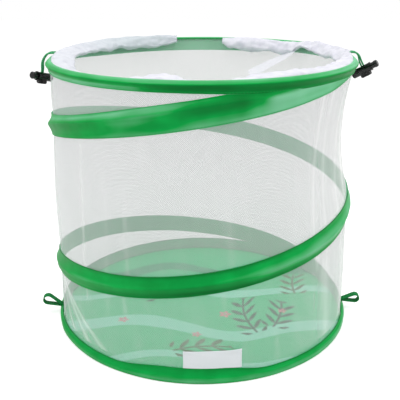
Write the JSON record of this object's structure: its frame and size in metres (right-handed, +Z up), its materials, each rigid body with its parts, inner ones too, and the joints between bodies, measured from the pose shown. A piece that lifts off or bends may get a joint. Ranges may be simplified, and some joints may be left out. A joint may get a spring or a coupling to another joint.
{
  "type": "pop-up mesh butterfly habitat",
  "caption": "Round pop-up net cage with fabric-covered wire hoops, a spiral spring wire in a sewn sleeve, a gathered collar and cord locks for folding it flat.",
  "frame": {"origin": "middle of the floor panel's underside, on the surface that the cage stands on", "axes": "+Z up the cage, -Y towards the front with the sewn label, +X to the right-hand cord lock"},
  "size_m": [0.3653, 0.3268, 0.2935],
  "materials": {
    "green_polyester": "satin woven polyester tape",
    "green_ribbon": "narrow woven ribbon",
    "green_cord": "braided cord",
    "white_polyester": "soft gathered polyester",
    "white_net": "fine see-through net",
    "printed_floor_cloth": "printed satin polyester",
    "label_satin": "bare satin label",
    "spring_steel": "drawn spring wire",
    "ferrule_steel": "crimped plated tube",
    "black_plastic": "moulded, slightly glossy"
  },
  "bodies": {
    "base": {"floor_panel": "printed_floor_cloth", "base_hoop": "spring_steel", "base_hoop_ferrule": "ferrule_steel", "base_rim_sleeve": "green_polyester", "base_loop_left": "green_ribbon", "base_loop_right": "green_ribbon", "sewn_label": "label_satin", "wall_net": "white_net", "spiral_wire": "spring_steel", "spiral_sleeve": "green_polyester", "spiral_end_cap_lower": "black_plastic"},
    "top_rim": {"top_hoop": "spring_steel", "top_hoop_ferrule": "ferrule_steel", "top_rim_sleeve": "green_polyester", "lid_collar": "white_polyester", "lid_net_flap": "white_net", "spiral_end_cap_upper": "black_plastic"},
    "left_closure": {"closure_cord_left_front": "green_cord", "closure_cord_left_back": "green_cord", "closure_knot_left": "green_cord", "cord_lock_barrel_left": "black_plastic", "cord_lock_spring_left": "spring_steel"},
    "left_plunger": {"cord_lock_plunger_left": "black_plastic"},
    "right_closure": {"closure_cord_right_front": "green_cord", "closure_cord_right_back": "green_cord", "closure_knot_right": "green_cord", "cord_lock_barrel_right": "black_plastic", "cord_lock_spring_right": "spring_steel"},
    "right_plunger": {"cord_lock_plunger_right": "black_plastic"}
  },
  "joints": [
    {"name": "collapse", "type": "slide", "parent": "base", "child": "top_rim", "axis": [0, 0, -1], "range_m": [0, 0.236], "stiffness_N_per_m": 25, "springref_m": -0.1, "deforming": ["wall_net", "spiral_wire", "spiral_sleeve"]},
    {"name": "left_lock_swing", "type": "hinge", "parent": "top_rim", "child": "left_closure", "pos_m": [-0.1512, -0.004, 0.2914], "axis": [0, 1, 0], "range_deg": [0, 115]},
    {"name": "right_lock_swing", "type": "hinge", "parent": "top_rim", "child": "right_closure", "pos_m": [0.1512, -0.002, 0.2914], "axis": [0, -1, 0], "range_deg": [0, 115]},
    {"name": "left_lock_press", "type": "slide", "parent": "left_closure", "child": "left_plunger", "axis": [0.4904, 0.8392, -0.2351], "range_m": [0, 0.003], "stiffness_N_per_m": 200, "springref_m": -0.004, "deforming": ["cord_lock_spring_left"]},
    {"name": "right_lock_press", "type": "slide", "parent": "right_closure", "child": "right_plunger", "axis": [-0.7724, 0.3818, -0.5075], "range_m": [0, 0.003], "stiffness_N_per_m": 200, "springref_m": -0.004, "deforming": ["cord_lock_spring_right"]}
  ]
}
